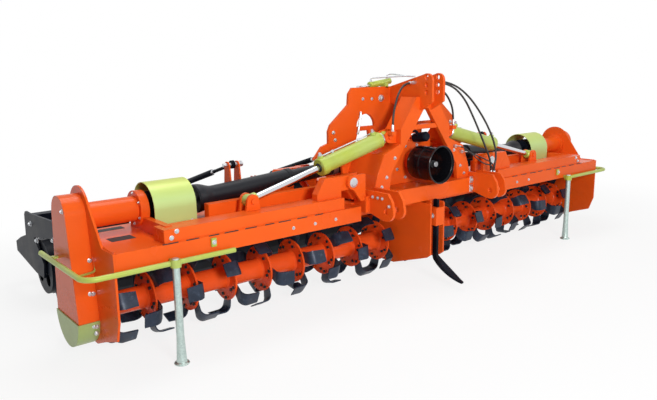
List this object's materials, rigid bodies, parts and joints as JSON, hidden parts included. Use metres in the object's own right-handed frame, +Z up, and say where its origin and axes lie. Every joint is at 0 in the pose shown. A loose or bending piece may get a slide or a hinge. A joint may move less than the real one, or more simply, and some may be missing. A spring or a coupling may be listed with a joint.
{
  "type": "folding rotavator",
  "caption": "Wide folding rotary tiller: centre frame with three-point headstock, hinged wings with bladed rotors, drive cases, fold cylinders and packer rollers.",
  "frame": {"origin": "centre of the machine's box, on the floor", "axes": "+X to the machine's right seen from behind, +Y to the rear, +Z up"},
  "size_m": [4.822, 2.23, 1.4449],
  "materials": {
    "orange_paint": "gloss orange enamel, chipped at edges",
    "yellow_green_zinc": "yellow-green passivated zinc, satin",
    "black_steel": "blue-black satin",
    "black_plastic": "glossy black moulded plastic",
    "chrome_rod": "hard chrome",
    "galvanised": "dull zinc plating",
    "silver_zinc": "bright zinc plating",
    "black_rubber": "matt hose rubber",
    "bare_steel": "machined, oiled"
  },
  "bodies": {
    "frame": {"centre_frame": "orange_paint", "hinge_pins": "silver_zinc", "headstock_front": "orange_paint", "headstock_rear": "orange_paint", "headstock_cheeks": "orange_paint", "cylinder_brackets": "orange_paint", "hitch_ears": "orange_paint", "gearbox": "orange_paint", "pto_guard": "black_plastic", "centre_tine": "black_steel", "lock_cylinder": "yellow_green_zinc", "hose_fittings": "silver_zinc", "hose_lift_left": "black_rubber", "hose_lift_right": "black_rubber", "hose_feed_inner": "black_rubber", "hose_feed_outer": "black_rubber", "hose_thin_inner": "black_rubber", "hose_thin_outer": "black_rubber"},
    "pto_shaft": {"pto_shaft": "bare_steel"},
    "wing_left": {"deck_left": "orange_paint", "beams_left": "orange_paint", "side_plates_left": "orange_paint", "drive_case_left": "orange_paint", "case_shoe_left": "yellow_green_zinc", "input_tube_left": "orange_paint", "slip_clutch_left": "black_steel", "clutch_cover_left": "yellow_green_zinc", "roller_frame_left": "black_steel", "guard_bar_left": "yellow_green_zinc"},
    "rotor_left": {"rotor_left": "orange_paint"},
    "roller_left": {"packer_roller_left": "black_steel"},
    "board_left": {"levelling_board_left": "black_steel"},
    "leg_left": {"parking_leg_left": "galvanised"},
    "barrel_left": {"cylinder_barrel_left": "yellow_green_zinc"},
    "rod_left": {"cylinder_rod_left": "chrome_rod"},
    "shaft_inner_left": {"shaft_inner_left": "black_plastic"},
    "shaft_outer_left": {"shaft_outer_left": "black_plastic"},
    "wing_right": {"deck_right": "orange_paint", "beams_right": "orange_paint", "side_plates_right": "orange_paint", "drive_case_right": "orange_paint", "case_shoe_right": "yellow_green_zinc", "input_tube_right": "orange_paint", "slip_clutch_right": "black_steel", "clutch_cover_right": "yellow_green_zinc", "roller_frame_right": "black_steel", "guard_bar_right": "yellow_green_zinc"},
    "rotor_right": {"rotor_right": "orange_paint"},
    "roller_right": {"packer_roller_right": "black_steel"},
    "board_right": {"levelling_board_right": "black_steel"},
    "leg_right": {"parking_leg_right": "galvanised"},
    "barrel_right": {"cylinder_barrel_right": "yellow_green_zinc"},
    "rod_right": {"cylinder_rod_right": "chrome_rod"},
    "shaft_inner_right": {"shaft_inner_right": "black_plastic"},
    "shaft_outer_right": {"shaft_outer_right": "black_plastic"}
  },
  "joints": [
    {"name": "pto_turn", "type": "hinge", "parent": "frame", "child": "pto_shaft", "pos_m": [0, -0.725, 0.838], "axis": [0, 1, 0], "continuous": true},
    {"name": "fold_left", "type": "hinge", "parent": "frame", "child": "wing_left", "pos_m": [-0.7, -0.49, 0.79], "axis": [0, 1, 0], "range_deg": [0, 86]},
    {"name": "cylinder_swing_left", "type": "hinge", "parent": "frame", "child": "barrel_left", "pos_m": [-0.3, -0.658, 1.035], "axis": [0, 1, 0], "range_deg": [0, 57]},
    {"name": "cylinder_stroke_left", "type": "slide", "parent": "barrel_left", "child": "rod_left", "axis": [-0.9685, 0, -0.249], "range_m": [-0.4715, 0]},
    {"name": "shaft_swing_left", "type": "hinge", "parent": "frame", "child": "shaft_inner_left", "pos_m": [-0.29, -0.375, 0.838], "axis": [0, 1, 0], "range_deg": [0, 63]},
    {"name": "shaft_slide_left", "type": "slide", "parent": "shaft_inner_left", "child": "shaft_outer_left", "axis": [-0.9978, 0, -0.0665], "range_m": [-0.3245, 0]},
    {"name": "rotor_turn_left", "type": "hinge", "parent": "wing_left", "child": "rotor_left", "pos_m": [-1.15, -0.375, 0.238], "axis": [1, 0, 0], "continuous": true},
    {"name": "roller_turn_left", "type": "hinge", "parent": "wing_left", "child": "roller_left", "pos_m": [-1.15, 0.57, 0.24901], "axis": [1, 0, 0], "continuous": true},
    {"name": "board_lift_left", "type": "hinge", "parent": "wing_left", "child": "board_left", "pos_m": [-1.15, -0.114, 0.4557], "axis": [1, 0, 0], "range_deg": [0, 15]},
    {"name": "leg_raise_left", "type": "slide", "parent": "wing_left", "child": "leg_left", "axis": [0, 0, 1], "range_m": [0, 0.35]},
    {"name": "fold_right", "type": "hinge", "parent": "frame", "child": "wing_right", "pos_m": [0.7, -0.49, 0.79], "axis": [0, -1, 0], "range_deg": [0, 86]},
    {"name": "cylinder_swing_right", "type": "hinge", "parent": "frame", "child": "barrel_right", "pos_m": [0.3, -0.658, 1.035], "axis": [0, -1, 0], "range_deg": [0, 57]},
    {"name": "cylinder_stroke_right", "type": "slide", "parent": "barrel_right", "child": "rod_right", "axis": [0.9685, 0, -0.249], "range_m": [-0.4715, 0]},
    {"name": "shaft_swing_right", "type": "hinge", "parent": "frame", "child": "shaft_inner_right", "pos_m": [0.29, -0.375, 0.838], "axis": [0, -1, 0], "range_deg": [0, 63]},
    {"name": "shaft_slide_right", "type": "slide", "parent": "shaft_inner_right", "child": "shaft_outer_right", "axis": [0.9978, 0, -0.0665], "range_m": [-0.3245, 0]},
    {"name": "rotor_turn_right", "type": "hinge", "parent": "wing_right", "child": "rotor_right", "pos_m": [1.15, -0.375, 0.238], "axis": [1, 0, 0], "continuous": true},
    {"name": "roller_turn_right", "type": "hinge", "parent": "wing_right", "child": "roller_right", "pos_m": [1.15, 0.57, 0.24901], "axis": [1, 0, 0], "continuous": true},
    {"name": "board_lift_right", "type": "hinge", "parent": "wing_right", "child": "board_right", "pos_m": [1.15, -0.114, 0.4557], "axis": [1, 0, 0], "range_deg": [0, 15]},
    {"name": "leg_raise_right", "type": "slide", "parent": "wing_right", "child": "leg_right", "axis": [0, 0, 1], "range_m": [0, 0.35]}
  ],
  "couplings": [
    {"joint": "cylinder_swing_left", "follows": "fold_left", "ratio": 0.65776},
    {"joint": "cylinder_stroke_left", "follows": "fold_left", "m_per_rad": -0.31353},
    {"joint": "shaft_swing_left", "follows": "fold_left", "ratio": 0.73128},
    {"joint": "shaft_slide_left", "follows": "fold_left", "m_per_rad": -0.21581},
    {"joint": "cylinder_swing_right", "follows": "fold_right", "ratio": 0.65776},
    {"joint": "cylinder_stroke_right", "follows": "fold_right", "m_per_rad": -0.31353},
    {"joint": "shaft_swing_right", "follows": "fold_right", "ratio": 0.73128},
    {"joint": "shaft_slide_right", "follows": "fold_right", "m_per_rad": -0.21581}
  ]
}
